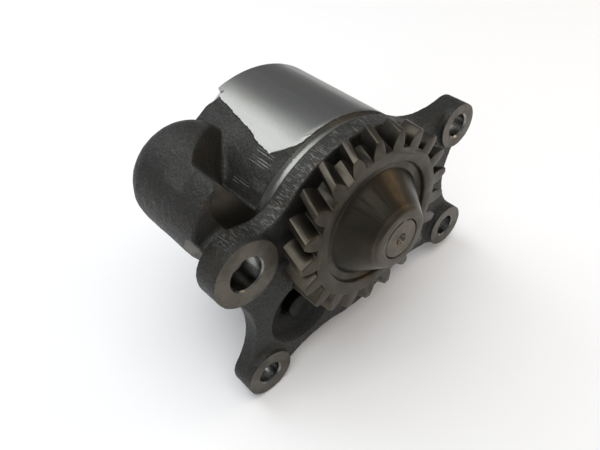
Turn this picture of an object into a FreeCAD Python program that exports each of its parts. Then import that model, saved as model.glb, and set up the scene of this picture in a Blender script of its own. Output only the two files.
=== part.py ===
import FreeCAD, Part
import Sketcher
import math
import os
from FreeCAD import Placement, Rotation, Vector

# Engine oil pump: a helical gear drives a pair of spur gears in a cast iron housing.
# Millimetres. X to the right, Z up, Y towards the rear of the pump. The origin is the centre
# of the turned neck where it meets the rear face of the flange.

PARTS_FOLDER = "parts"
FRONT = "XZ_Plane"
ALONG = "XY_Plane"
SPRING_STEPS = 12

SIZES = {
    # Flange with its four lugs
    "flange_thickness": 7.6,
    "rim_radius": 45.0,
    "lug_thickness": 9.8,
    "upper_left_lug_x": -50.7,
    "upper_left_lug_z": 19.7,
    "upper_left_lug_radius": 13.5,
    "upper_left_hole_radius": 6.5,
    "lower_left_lug_x": -50.3,
    "lower_left_lug_z": -40.6,
    "lower_left_lug_radius": 10.5,
    "upper_right_lug_x": 57.2,
    "upper_right_lug_z": 18.5,
    "upper_right_lug_radius": 9.6,
    "lower_right_lug_x": 55.4,
    "lower_right_lug_z": -37.0,
    "lower_right_lug_radius": 10.0,
    "lug_hole_radius": 4.75,
    "right_bay_radius": 28.0,
    "upper_right_bay_radius": 40.0,
    "upper_left_bay_radius": 15.0,
    "left_bay_radius": 32.0,
    "lower_left_bay_radius": 40.0,
    "lower_right_bay_radius": 50.0,
    # Neck and barrel behind the flange
    "neck_radius": 42.5,
    "neck_length": 4.5,
    "barrel_radius": 44.2,
    "barrel_length": 50.0,
    "edge_chamfer": 0.8,
    # Delivery boss on the left, with its port at the rear
    "boss_x": -41.0,
    "boss_z": 30.7,
    "boss_radius": 20.6,
    "boss_end": 46.0,
    "boss_round": 12.0,
    "boss_flat_angle": 117.0,
    "boss_flat_distance": 19.6,
    "boss_flat_end": 24.0,
    "port_x": -42.6,
    "port_z": 31.9,
    "port_radius": 6.5,
    "port_depth": 32.0,
    "passage_y": 21.0,
    "passage_radius": 5.5,
    # Pump gears and their chamber
    "drive_axis_z": 13.0,
    "pump_module": 3.0,
    "pump_teeth": 10,
    "pump_pressure_angle": 25.0,
    "pump_backlash": 0.5,
    "root_depth": 1.25,
    "tooth_overlap": 0.7,
    "chamber_front": 18.0,
    "chamber_clearance": 0.25,
    "end_clearance": 0.1,
    "suction_x": 19.0,
    "suction_bay_radius": 8.8,
    "suction_port_radius": 9.5,
    "pressure_x": -19.0,
    "pressure_radius": 8.0,
    # Shafts and bushes
    "shaft_radius": 8.0,
    "running_clearance": 0.03,
    "seat_clearance": 0.02,
    "bush_wall": 2.0,
    "front_bush_length": 21.0,
    "rear_bush_length": 8.0,
    "bush_setback": 0.5,
    "shaft_chamfer": 0.6,
    "shaft_end_room": 0.8,
    "key_width": 4.0,
    "key_length": 20.0,
    "key_depth_in_shaft": 2.5,
    "key_depth_in_gear": 1.8,
    "key_clearance": 0.02,
    # Helical drive gear
    "drive_teeth": 21,
    "drive_module": 3.0,
    "drive_helix": 22.0,
    "drive_pressure_angle": 20.0,
    "drive_backlash": 0.2,
    "drive_tooth_phase": 3.0,
    "drive_face_width": 10.0,
    "drive_gear_gap": 3.0,
    "web_recess_radius": 25.0,
    "web_recess_depth": 2.0,
    "web_recess_slope": 0.6,
    "cone_base_radius": 21.5,
    "cone_nose_radius": 12.3,
    "cone_nose_height": 10.7,
    "nose_chamfer": 0.8,
    "rear_hub_radius": 14.0,
    "washer_thickness": 2.0,
    "washer_radius": 15.0,
    "washer_clearance": 0.15,
    "washer_bore_radius": 8.2,
    "centre_hole_radius": 2.4,
    "centre_hole_depth": 3.6,
    # Rear cover with its screws and dowels
    "cover_rim_thickness": 4.5,
    "cover_step_width": 13.2,
    "cover_thickness": 11.5,
    "notch_start": 102.5,
    "notch_end": 140.0,
    "notch_radius": 41.3,
    "screw_inset": 7.0,
    "screw_count": 5,
    "first_screw_angle": 18.0,
    "screw_radius": 3.0,
    "screw_length": 16.0,
    "screw_head_radius": 5.6,
    "screw_head_height": 2.8,
    "screw_head_sink": 0.3,
    "screw_socket_width": 4.0,
    "screw_socket_depth": 2.2,
    "screw_hole_clearance": 0.3,
    "screw_hole_room": 1.0,
    "thread_clearance": 0.04,
    "dowel_radius": 3.0,
    "dowel_length": 12.0,
    "dowel_in_cover": 4.0,
    "dowel_chamfer": 0.5,
    "first_dowel_angle": 54.0,
    "second_dowel_angle": 198.0,
    "suction_stud_spread": 15.0,
    "suction_stud_radius": 2.5,
    "suction_stud_depth": 9.0,
    # Relief valve
    "valve_x": -28.5,
    "valve_z": -21.5,
    "valve_boss_radius": 12.0,
    "valve_boss_end": 38.0,
    "valve_mouth_radius": 15.9,
    "valve_mouth_depth": 5.0,
    "valve_bore_radius": 7.5,
    "valve_bore_end": 27.0,
    "valve_seat_radius": 4.5,
    "valve_seat_end": 34.5,
    "cross_drilling_radius": 3.0,
    "cross_drilling_y": 31.0,
    "spill_radius": 2.5,
    "spill_y": 23.5,
    "plunger_length": 17.0,
    "plunger_wall": 2.0,
    "plunger_head": 4.0,
    "valve_chamfer": 0.4,
    "spring_wire_radius": 0.8,
    "spring_clearance": 0.35,
    "spring_turns": 7,
    "seat_post_radius": 5.6,
    "seat_post_front": -5.6,
    "seat_disc_front": 0.6,
    "seat_disc_rear": 3.6,
    "shim_thickness": 0.8,
    "shim_radius": 5.1,
    "shim_bore_radius": 2.6,
    "ring_thickness": 1.2,
    "ring_groove_depth": 0.9,
    "ring_width": 2.0,
    "ring_gap": 4.0,
    "ring_clearance": 0.1,
    "plug_length": 4.4,
    "plug_radius": 4.5,
    "plug_socket_width": 4.0,
    "plug_socket_depth": 2.2,
    "plug_setback": 0.3,
    # How far a cutting tool runs past the surface that it cuts
    "overrun": 1.0,
}

doc = FreeCAD.newDocument("engine_oil_pump")
sheet = doc.addObject("Spreadsheet::Sheet", "sizes")
for row, (alias, value) in enumerate(SIZES.items(), start=1):
    sheet.set("A%d" % row, alias)
    sheet.set("B%d" % row, str(value))
    sheet.setAlias("B%d" % row, alias)
doc.recompute()


def size(alias):
    return float(getattr(sheet, alias))


def bound(text):
    """An expression on the sheet: each name in braces becomes the cell with that alias."""
    return text.replace("{", "sizes.").replace("}", "")


# Places that several pieces share, as expressions on the sheet
GEAR_FRONT = "(-{flange_thickness} - {drive_gear_gap} - {drive_face_width})"
GEAR_REAR = "(-{flange_thickness} - {drive_gear_gap})"
NOSE = "(-{flange_thickness} - {drive_gear_gap} - {drive_face_width} - {cone_nose_height})"
DRIVEN_Z = "({drive_axis_z} - {pump_module} * {pump_teeth})"
MESH_Z = "({drive_axis_z} - {pump_module} * {pump_teeth} / 2)"
PUMP_TIP = "({pump_module} * ({pump_teeth} / 2 + 1))"
PUMP_ROOT = "({pump_module} * ({pump_teeth} / 2 - {root_depth}))"
BUSH_OUTER = "({shaft_radius} + {bush_wall})"
BUSH_BORE = "({shaft_radius} + {running_clearance})"
BUSH_HOUSING = "({shaft_radius} + {bush_wall} + {seat_clearance})"
COVER_RIM = "({barrel_length} + {cover_rim_thickness})"
COVER_REAR = "({barrel_length} + {cover_thickness})"
COVER_HUB = "({barrel_radius} - {cover_step_width})"
SCREW_CIRCLE = "({barrel_radius} - {screw_inset})"
CHAMBER_LENGTH = "({barrel_length} - {chamber_front})"
FRONT_BUSH_START = "({chamber_front} - {bush_setback} - {front_bush_length})"
DRIVEN_BORE_END = "({chamber_front} - {bush_setback} - {front_bush_length} - {shaft_end_room})"
DRIVEN_SHAFT_FRONT = "({chamber_front} - {front_bush_length})"
REAR_BUSH_END = "({barrel_length} + {bush_setback} + {rear_bush_length})"
SHAFT_REAR = REAR_BUSH_END
COVER_BORE_END = "({barrel_length} + {bush_setback} + {rear_bush_length} + {shaft_end_room})"
KEY_FRONT = "(({chamber_front} + {barrel_length} - {key_length}) / 2)"


def number(expression):
    """The value of an expression on the sheet."""
    return float(sheet.evalExpression(bound(expression)))


def new_body(label, x="0", y="0", z="0"):
    body = doc.addObject("PartDesign::Body", label)
    body.Label = label
    for axis, text in (("x", x), ("y", y), ("z", z)):
        body.setExpression("Placement.Base." + axis, bound(text))
    return body


def new_sketch(body, role, name, offset="0"):
    """A sketch on a plane of the body, moved along the plane's normal. The normal of the
    front plane points to the front, towards -Y."""
    sketch = body.newObject("Sketcher::SketchObject", name)
    plane = [item for item in body.Origin.OriginFeatures if item.Role == role][0]
    sketch.AttachmentSupport = (plane, [""])
    sketch.MapMode = "FlatFace"
    sketch.setExpression("AttachmentOffset.Base.z", bound(offset))
    return sketch


def bind(sketch, constraint, expression):
    index = sketch.addConstraint(constraint)
    sketch.setExpression("Constraints[%d]" % index, bound(expression))


def hold_point(sketch, item, position, x, y):
    """Ties a point of the sketch to two expressions, or to an axis where one is zero."""
    if x == "0":
        sketch.addConstraint(Sketcher.Constraint("PointOnObject", item, position, -2))
    else:
        bind(sketch, Sketcher.Constraint("DistanceX", -1, 1, item, position, number(x)), x)
    if y == "0":
        sketch.addConstraint(Sketcher.Constraint("PointOnObject", item, position, -1))
    else:
        bind(sketch, Sketcher.Constraint("DistanceY", -1, 1, item, position, number(y)), y)


def draw_outline(sketch, points):
    """A closed line through points whose two coordinates are expressions."""
    places = [Vector(number(x), number(y), 0) for x, y in points]
    count = len(points)
    for index in range(count):
        sketch.addGeometry(Part.LineSegment(places[index], places[(index + 1) % count]))
    for index in range(count):
        follower = (index + 1) % count
        sketch.addConstraint(Sketcher.Constraint("Coincident", index, 2, follower, 1))
    for index, (x, y) in enumerate(points):
        hold_point(sketch, index, 1, x, y)


def draw_circle(sketch, x, y, radius):
    centre = Vector(number(x), number(y), 0)
    item = sketch.addGeometry(Part.Circle(centre, Vector(0, 0, 1), number(radius)))
    if x == "0" and y == "0":
        sketch.addConstraint(Sketcher.Constraint("Coincident", item, 3, -1, 1))
    else:
        hold_point(sketch, item, 3, x, y)
    bind(sketch, Sketcher.Constraint("Radius", item, number(radius)), radius)


def pad(body, sketch, name, length, towards_rear=False):
    feature = body.newObject("PartDesign::Pad", name)
    feature.Profile = sketch
    feature.setExpression("Length", bound(length))
    feature.Reversed = towards_rear
    body.Tip = feature
    return feature


def pocket(body, sketch, name, length):
    feature = body.newObject("PartDesign::Pocket", name)
    feature.Profile = sketch
    feature.setExpression("Length", bound(length))
    body.Tip = feature
    return feature


def round_pad(body, name, x, z, radius, front, rear):
    """A round boss along Y between two depths."""
    sketch = new_sketch(body, FRONT, name + "_sketch", "-(%s)" % rear)
    draw_circle(sketch, x, z, radius)
    return pad(body, sketch, name, "(%s) - (%s)" % (rear, front))


def round_pocket(body, name, x, z, radius, front, rear):
    """A round hole along Y between two depths."""
    sketch = new_sketch(body, FRONT, name + "_sketch", "-(%s)" % front)
    draw_circle(sketch, x, z, radius)
    return pocket(body, sketch, name, "(%s) - (%s)" % (rear, front))


def revolve(body, name, points):
    """A turned form about the body's Y axis, from points given as radius and depth."""
    sketch = new_sketch(body, ALONG, name + "_sketch")
    draw_outline(sketch, points)
    feature = body.newObject("PartDesign::Revolution", name)
    feature.Profile = sketch
    feature.ReferenceAxis = (sketch, ["V_Axis"])
    feature.Angle = 360
    body.Tip = feature
    return feature


def pattern(body, feature, name, count):
    """Copies of a feature about the body's Y axis."""
    around = body.newObject("PartDesign::PolarPattern", name)
    around.Originals = [feature]
    around.Axis = ([item for item in body.Origin.OriginFeatures if item.Role == "Y_Axis"][0], [""])
    around.Angle = 360
    around.setExpression("Occurrences", bound(count))
    body.Tip = around
    return around


def drill(body, name, start, end, radius):
    """A straight hole between two points of the body."""
    hole = body.newObject("PartDesign::SubtractiveCylinder", name)
    hole.setExpression("Radius", bound(radius))
    hole.Height = (end - start).Length
    hole.Placement = Placement(start, Rotation(Vector(0, 0, 1), end - start))
    body.Tip = hole
    return hole


def turned(label, points, x="0", y="0", z="0"):
    body = new_body(label, x, y, z)
    revolve(body, label + "_turning", points)
    return body


def rounded_edges(body, name, feature, radius, test):
    """A fillet on those edges of a feature that pass a test."""
    doc.recompute()
    names = ["Edge%d" % (i + 1) for i, edge in enumerate(feature.Shape.Edges) if test(edge)]
    fillet = body.newObject("PartDesign::Fillet", name)
    fillet.Base = (feature, names)
    fillet.setExpression("Radius", bound(radius))
    body.Tip = fillet
    return fillet


def lies_at(depth):
    level = number(depth)

    def test(edge):
        box = edge.BoundBox
        return abs(box.YMin - level) < 1e-6 and abs(box.YMax - level) < 1e-6
    return test


# Flange outline: round lugs and the rim, joined by hollow bays that run into both

def bay_centre(one, other, bay):
    """The centre of a hollow arc that touches two round stretches, outside of both. The
    stretches are (x, z, radius), in anticlockwise order."""
    span = math.hypot(other[0] - one[0], other[1] - one[1])
    along = ((other[0] - one[0]) / span, (other[1] - one[1]) / span)
    first, second = one[2] + bay, other[2] + bay
    run = (span ** 2 + first ** 2 - second ** 2) / (2 * span)
    rise = math.sqrt(first ** 2 - run ** 2)
    return (one[0] + along[0] * run + along[1] * rise, one[1] + along[1] * run - along[0] * rise)


def draw_flange(sketch):
    stretches = [
        ("{upper_right_lug_x}", "{upper_right_lug_z}", "{upper_right_lug_radius}"),
        ("0", "0", "{rim_radius}"),
        ("{upper_left_lug_x}", "{upper_left_lug_z}", "{upper_left_lug_radius}"),
        ("{lower_left_lug_x}", "{lower_left_lug_z}", "{lower_left_lug_radius}"),
        ("0", "0", "{rim_radius}"),
        ("{lower_right_lug_x}", "{lower_right_lug_z}", "{lower_right_lug_radius}"),
    ]
    bays = ["{upper_right_bay_radius}", "{upper_left_bay_radius}", "{left_bay_radius}",
            "{lower_left_bay_radius}", "{lower_right_bay_radius}", "{right_bay_radius}"]
    rounds = [tuple(number(text) for text in stretch) for stretch in stretches]
    count = len(rounds)
    centres = [bay_centre(rounds[i], rounds[(i + 1) % count], number(bays[i])) for i in range(count)]

    def arc(centre, radius, start, end):
        first = math.atan2(start[1] - centre[1], start[0] - centre[0])
        last = math.atan2(end[1] - centre[1], end[0] - centre[0])
        if last < first:
            last += 2 * math.pi
        circle = Part.Circle(Vector(centre[0], centre[1], 0), Vector(0, 0, 1), radius)
        return sketch.addGeometry(Part.ArcOfCircle(circle, first, last))

    lugs = [arc(rounds[i], rounds[i][2], centres[i - 1], centres[i]) for i in range(count)]
    hollows = [arc(centres[i], number(bays[i]), rounds[(i + 1) % count], rounds[i]) for i in range(count)]
    for i in range(count):
        sketch.addConstraint(Sketcher.Constraint("Tangent", lugs[i], 2, hollows[i], 2))
        sketch.addConstraint(Sketcher.Constraint("Tangent", hollows[i], 1, lugs[(i + 1) % count], 1))
        bind(sketch, Sketcher.Constraint("Radius", hollows[i], number(bays[i])), bays[i])
        x, z, radius = stretches[i]
        if x == "0":
            sketch.addConstraint(Sketcher.Constraint("Coincident", lugs[i], 3, -1, 1))
        else:
            hold_point(sketch, lugs[i], 3, x, z)
        bind(sketch, Sketcher.Constraint("Radius", lugs[i], rounds[i][2]), radius)


def on_circle(radius, angle):
    """Two expressions for a place on a circle about the barrel's axis."""
    return "%s * cos(%s)" % (radius, angle), "%s * sin(%s)" % (radius, angle)


def point(x, y, z):
    return Vector(number(x), number(y), number(z))


def make_housing():
    body = new_body("housing")
    boss = round_pad(body, "delivery_boss", "{boss_x}", "{boss_z}", "{boss_radius}",
                     "{neck_length}", "{boss_end}")
    rounded_edges(body, "delivery_dome", boss, "{boss_round}", lies_at("{boss_end}"))
    cut_boss_flat(body)
    revolve(body, "barrel", [
        ("0", "0"), ("{neck_radius}", "0"), ("{neck_radius}", "{neck_length}"),
        ("{barrel_radius} - {edge_chamfer}", "{neck_length}"),
        ("{barrel_radius}", "{neck_length} + {edge_chamfer}"),
        ("{barrel_radius}", "{barrel_length}"), ("0", "{barrel_length}")])
    round_pad(body, "valve_boss", "{valve_x}", "{valve_z}", "{valve_boss_radius}", "0",
              "{valve_boss_end}")
    flange = new_sketch(body, FRONT, "flange_sketch")
    draw_flange(flange)
    pad(body, flange, "flange", "{flange_thickness}")
    for corner, hole in (("upper_left", "{upper_left_hole_radius}"), ("lower_left", "{lug_hole_radius}"),
                         ("upper_right", "{lug_hole_radius}"), ("lower_right", "{lug_hole_radius}")):
        x, z = "{%s_lug_x}" % corner, "{%s_lug_z}" % corner
        round_pad(body, corner + "_lug", x, z, "{%s_lug_radius}" % corner, "(-{lug_thickness})", "0")
        round_pocket(body, corner + "_hole", x, z, hole, "(-{lug_thickness})", "0")
    cut_chamber(body)
    cut_valve(body)
    return body


def cut_boss_flat(body):
    """The flat along the top of the delivery boss, in front of its round end."""
    side = "sqrt({boss_radius}^2 - {boss_flat_distance}^2)"
    angle = "{boss_flat_angle}"
    corners = []
    for reach, shift in (("{boss_flat_distance}", "+"), ("({boss_radius} + {overrun})", "+"),
                         ("({boss_radius} + {overrun})", "-"), ("{boss_flat_distance}", "-")):
        turned_side = "-" if shift == "+" else "+"
        corners.append(("{boss_x} + %s * cos(%s) %s %s * sin(%s)" % (reach, angle, turned_side, side, angle),
                        "{boss_z} + %s * sin(%s) %s %s * cos(%s)" % (reach, angle, shift, side, angle)))
    sketch = new_sketch(body, FRONT, "boss_flat_sketch", "-{neck_length}")
    draw_outline(sketch, corners)
    pocket(body, sketch, "boss_flat", "{boss_flat_end} - {neck_length}")


def cut_chamber(body):
    wall = PUMP_TIP + " + {chamber_clearance}"
    for name, z in (("drive", "{drive_axis_z}"), ("driven", DRIVEN_Z)):
        round_pocket(body, name + "_chamber", "0", z, wall, "{chamber_front}", "{barrel_length}")
    round_pocket(body, "suction_bay", "{suction_x}", MESH_Z, "{suction_bay_radius}",
                 "{chamber_front}", "{barrel_length}")
    round_pocket(body, "pressure_bay", "{pressure_x}", MESH_Z, "{pressure_radius}",
                 "{chamber_front}", "{barrel_length}")
    round_pocket(body, "drive_bush_bore", "0", "{drive_axis_z}", BUSH_HOUSING,
                 "(-{flange_thickness})", "{chamber_front}")
    round_pocket(body, "driven_bush_bore", "0", DRIVEN_Z, BUSH_HOUSING,
                 DRIVEN_BORE_END, "{chamber_front}")
    screw_end = "({barrel_length} + {cover_rim_thickness} - {screw_length} - {screw_hole_room})"
    x, z = on_circle(SCREW_CIRCLE, "{first_screw_angle}")
    hole = round_pocket(body, "screw_hole", x, z, "{screw_radius} + {thread_clearance}", screw_end,
                        "{barrel_length}")
    pattern(body, hole, "screw_holes", "{screw_count}")
    for name in ("first", "second"):
        x, z = on_circle(SCREW_CIRCLE, "{%s_dowel_angle}" % name)
        round_pocket(body, name + "_dowel_hole", x, z, "{dowel_radius} + {seat_clearance}",
                     "{barrel_length} + {dowel_in_cover} - {dowel_length} - {dowel_chamfer}",
                     "{barrel_length}")
    drill(body, "delivery_passage", point("{pressure_x}", "{passage_y}", MESH_Z),
          point("{port_x}", "{passage_y}", "{port_z}"), "{passage_radius}")
    round_pocket(body, "delivery_port", "{port_x}", "{port_z}", "{port_radius}",
                 "({boss_end} - {port_depth})", "{boss_end}")


def cut_valve(body):
    x, z = "{valve_x}", "{valve_z}"
    front = "(-{flange_thickness})"
    floor = "(-{flange_thickness} + {valve_mouth_depth})"
    round_pocket(body, "valve_mouth", x, z, "{valve_mouth_radius}", front, floor)
    round_pocket(body, "valve_bore", x, z, "{valve_bore_radius}", floor, "{valve_bore_end}")
    round_pocket(body, "valve_seat_bore", x, z, "{valve_seat_radius}", "{valve_bore_end}",
                 "{valve_seat_end}")
    groove_front = "({seat_disc_front} - {ring_thickness} - {end_clearance})"
    round_pocket(body, "ring_groove", x, z, "{valve_bore_radius} + {ring_groove_depth}",
                 groove_front, "{seat_disc_front}")
    valve = point(x, "{cross_drilling_y}", z)
    bay = point("{pressure_x}", "{cross_drilling_y}", MESH_Z)
    outwards = (valve - bay).normalize()
    outside = valve + outwards * (size("valve_boss_radius") + size("overrun"))
    drill(body, "cross_drilling", outside, bay, "{cross_drilling_radius}")
    plug_floor = valve + outwards * (size("valve_boss_radius") - size("plug_length"))
    drill(body, "plug_hole", plug_floor, outside, "{plug_radius} + {thread_clearance}")
    spill = point(x, "{spill_y}", z)
    away = Vector(spill.x, 0, spill.z).normalize()
    drill(body, "spill_hole", spill, spill + away * (size("valve_boss_radius") + size("overrun")),
          "{spill_radius}")


# Gear teeth: involute flanks, drawn as arcs with the involute's curvature at the pitch circle

def tooth_form(module, teeth, pressure_angle, backlash, height):
    """Base radius, half the tooth's angle there, tip radius, half its angle there."""
    pitch_radius = module * teeth / 2
    base_radius = pitch_radius * math.cos(pressure_angle)
    tip_radius = pitch_radius + height
    half = (math.pi * module / 2 - backlash / 2) / (2 * pitch_radius)
    at_base = half + math.tan(pressure_angle) - pressure_angle
    tip_pressure = math.acos(base_radius / tip_radius)
    at_tip = at_base - (math.tan(tip_pressure) - tip_pressure)
    return base_radius, at_base, tip_radius, at_tip


def involute_point(base_radius, at_base, radius, side, turn):
    pressure = math.acos(min(1.0, base_radius / radius))
    angle = turn + side * (at_base - math.tan(pressure) + pressure)
    return Vector(radius * math.cos(angle), radius * math.sin(angle), 0)


def draw_tooth(sketch, form, foot_radius, turn):
    """One tooth, from inside the root circle to the tip, turned to an angle."""
    base_radius, at_base, tip_radius, at_tip = form
    start = max(base_radius, foot_radius)
    middle = (start + tip_radius) / 2

    def at(radius, side):
        return involute_point(base_radius, at_base, radius, side, turn)

    def foot(side):
        angle = turn + side * at_base
        return Vector(foot_radius * math.cos(angle), foot_radius * math.sin(angle), 0)

    crown = Vector(tip_radius * math.cos(turn), tip_radius * math.sin(turn), 0)
    right = [foot(-1), at(start, -1), at(middle, -1), at(tip_radius, -1)]
    left = [foot(1), at(start, 1), at(middle, 1), at(tip_radius, 1)]
    sketch.addGeometry(Part.LineSegment(right[0], right[1]))
    sketch.addGeometry(Part.Arc(right[1], right[2], right[3]))
    sketch.addGeometry(Part.Arc(right[3], crown, left[3]))
    sketch.addGeometry(Part.Arc(left[3], left[2], left[1]))
    sketch.addGeometry(Part.LineSegment(left[1], left[0]))
    sketch.addGeometry(Part.LineSegment(left[0], right[0]))
    for index in range(6):
        sketch.addConstraint(Sketcher.Constraint("Block", index))


def make_pump_gear(label, z, turn, keyed):
    """A spur gear of the pump, in its place in the chamber."""
    body = new_body(label, "0", "{chamber_front} + {end_clearance}", z)
    width = "(%s - 2 * {end_clearance})" % CHAMBER_LENGTH
    round_pad(body, label + "_core", "0", "0", PUMP_ROOT, "0", width)
    form = tooth_form(size("pump_module"), size("pump_teeth"), math.radians(size("pump_pressure_angle")),
                      size("pump_backlash"), size("pump_module"))
    sketch = new_sketch(body, FRONT, label + "_tooth_sketch", "-" + width)
    draw_tooth(sketch, form, number(PUMP_ROOT) - size("tooth_overlap"), turn)
    tooth = pad(body, sketch, label + "_tooth", width)
    pattern(body, tooth, label + "_teeth", "{pump_teeth}")
    round_pocket(body, label + "_bore", "0", "0", "{shaft_radius} + {seat_clearance}", "0", width)
    if keyed:
        slot = new_sketch(body, FRONT, label + "_keyway_sketch")
        half = "({key_width} / 2 + {key_clearance})"
        top = "({shaft_radius} + {key_depth_in_gear})"
        draw_outline(slot, [("-" + half, "0"), (half, "0"), (half, top), ("-" + half, top)])
        pocket(body, slot, label + "_keyway", width)
    return body


def make_drive_gear():
    """A helical gear with a dished web and a long conical nose, shrunk on the shaft."""
    body = new_body("drive_gear", "0", "0", "{drive_axis_z}")
    helix = math.radians(size("drive_helix"))
    module = size("drive_module") / math.cos(helix)
    pressure = math.atan(math.tan(math.radians(size("drive_pressure_angle"))) / math.cos(helix))
    pitch_radius = module * size("drive_teeth") / 2
    twist = size("drive_face_width") * math.tan(helix) / pitch_radius
    foot_radius = pitch_radius - size("root_depth") * size("drive_module") - size("tooth_overlap")
    form = tooth_form(module, size("drive_teeth"), pressure, size("drive_backlash"), size("drive_module"))
    root = "({drive_module} * {drive_teeth} / 2 / cos({drive_helix}) - {root_depth} * {drive_module})"
    bore = "({shaft_radius} + {seat_clearance})"
    hub_rear = "(-{flange_thickness} - {washer_thickness} - {washer_clearance})"
    revolve(body, "gear_blank", [
        (bore, NOSE), ("{cone_nose_radius} - {nose_chamfer}", NOSE),
        ("{cone_nose_radius}", NOSE + " + {nose_chamfer}"),
        ("{cone_base_radius}", GEAR_FRONT + " + {web_recess_depth}"),
        ("{web_recess_radius} - {web_recess_slope}", GEAR_FRONT + " + {web_recess_depth}"),
        ("{web_recess_radius}", GEAR_FRONT), (root, GEAR_FRONT), (root, GEAR_REAR),
        ("{rear_hub_radius}", GEAR_REAR), ("{rear_hub_radius}", hub_rear), (bore, hub_rear)])
    turn = math.radians(size("drive_tooth_phase"))
    front = new_sketch(body, FRONT, "tooth_front_sketch", "-" + GEAR_FRONT)
    draw_tooth(front, form, foot_radius, turn)
    rear = new_sketch(body, FRONT, "tooth_rear_sketch", "-" + GEAR_REAR)
    draw_tooth(rear, form, foot_radius, turn - twist)
    tooth = body.newObject("PartDesign::AdditiveLoft", "tooth")
    tooth.Profile = front
    tooth.Sections = [rear]
    tooth.Ruled = True
    body.Tip = tooth
    pattern(body, tooth, "drive_gear_teeth", "{drive_teeth}")
    return body


def cut_keyway(body, front):
    """A slot for the key along the top of a shaft."""
    sketch = new_sketch(body, ALONG, body.Label + "_keyway_sketch", "{shaft_radius} + {overrun}")
    half = "({key_width} / 2 + {key_clearance})"
    rear = "(%s + {key_length} + 2 * {key_clearance})" % front
    draw_outline(sketch, [("-" + half, front), (half, front), (half, rear), ("-" + half, rear)])
    pocket(body, sketch, body.Label + "_keyway", "{key_depth_in_shaft} + {overrun}")


def make_shafts():
    chamfer, radius = "{shaft_chamfer}", "{shaft_radius}"
    shaft = turned("drive_shaft", [
        ("0", NOSE + " + {centre_hole_depth}"), ("{centre_hole_radius}", NOSE),
        (radius + " - " + chamfer, NOSE), (radius, NOSE + " + " + chamfer),
        (radius, SHAFT_REAR + " - " + chamfer), (radius + " - " + chamfer, SHAFT_REAR),
        ("0", SHAFT_REAR)], z="{drive_axis_z}")
    cut_keyway(shaft, KEY_FRONT)
    turned("driven_shaft", [
        ("0", DRIVEN_SHAFT_FRONT), (radius + " - " + chamfer, DRIVEN_SHAFT_FRONT),
        (radius, DRIVEN_SHAFT_FRONT + " + " + chamfer), (radius, SHAFT_REAR + " - " + chamfer),
        (radius + " - " + chamfer, SHAFT_REAR), ("0", SHAFT_REAR)], z=DRIVEN_Z)
    key = new_body("pump_gear_key", "0", KEY_FRONT + " + {key_clearance}",
                   "{drive_axis_z} + {shaft_radius} - {key_depth_in_shaft} + {key_clearance}")
    sketch = new_sketch(key, ALONG, "key_sketch")
    half = "({key_width} / 2)"
    draw_outline(sketch, [("-" + half, "0"), (half, "0"), (half, "{key_length}"),
                          ("-" + half, "{key_length}")])
    pad(key, sketch, "key_block", "{key_depth_in_shaft} + {key_depth_in_gear} - 2 * {key_clearance}")


def make_bushes():
    for name, z in (("drive", "{drive_axis_z}"), ("driven", DRIVEN_Z)):
        rear = FRONT_BUSH_START + " + {front_bush_length}"
        turned(name + "_front_bush", [
            (BUSH_BORE, FRONT_BUSH_START), (BUSH_OUTER, FRONT_BUSH_START), (BUSH_OUTER, rear),
            (BUSH_BORE, rear)], z=z)
        start = "({barrel_length} + {bush_setback})"
        turned(name + "_rear_bush", [
            (BUSH_BORE, start), (BUSH_OUTER, start), (BUSH_OUTER, REAR_BUSH_END),
            (BUSH_BORE, REAR_BUSH_END)], z=z)
    face = "(-{flange_thickness})"
    turned("thrust_washer", [
        ("{washer_bore_radius}", face + " - {washer_thickness}"),
        ("{washer_radius}", face + " - {washer_thickness}"),
        ("{washer_radius}", face), ("{washer_bore_radius}", face)], z="{drive_axis_z}")


def make_cover():
    body = new_body("rear_cover")
    edge = "{edge_chamfer}"
    revolve(body, "cover_disc", [
        ("0", "{barrel_length}"), ("{barrel_radius}", "{barrel_length}"),
        ("{barrel_radius}", COVER_RIM + " - " + edge), ("{barrel_radius} - " + edge, COVER_RIM),
        (COVER_HUB, COVER_RIM), (COVER_HUB, COVER_REAR + " - " + edge),
        (COVER_HUB + " - " + edge, COVER_REAR), ("0", COVER_REAR)])
    for name, z in (("drive", "{drive_axis_z}"), ("driven", DRIVEN_Z)):
        round_pocket(body, name + "_rear_bore", "0", z, BUSH_HOUSING, "{barrel_length}", COVER_BORE_END)
    round_pocket(body, "suction_port", "{suction_x}", MESH_Z, "{suction_port_radius}", "{barrel_length}",
                 COVER_REAR)
    for name, sign in (("upper", "+"), ("lower", "-")):
        z = "%s %s {suction_stud_spread}" % (MESH_Z, sign)
        round_pocket(body, name + "_stud_hole", "{suction_x}", z, "{suction_stud_radius}",
                     COVER_REAR + " - {suction_stud_depth}", COVER_REAR)
    cut_screw_seats(body)
    cut_cover_notch(body)
    for name in ("first", "second"):
        x, z = on_circle(SCREW_CIRCLE, "{%s_dowel_angle}" % name)
        round_pocket(body, name + "_dowel_socket", x, z, "{dowel_radius} + {seat_clearance}",
                     "{barrel_length}", COVER_RIM)
    return body


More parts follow.
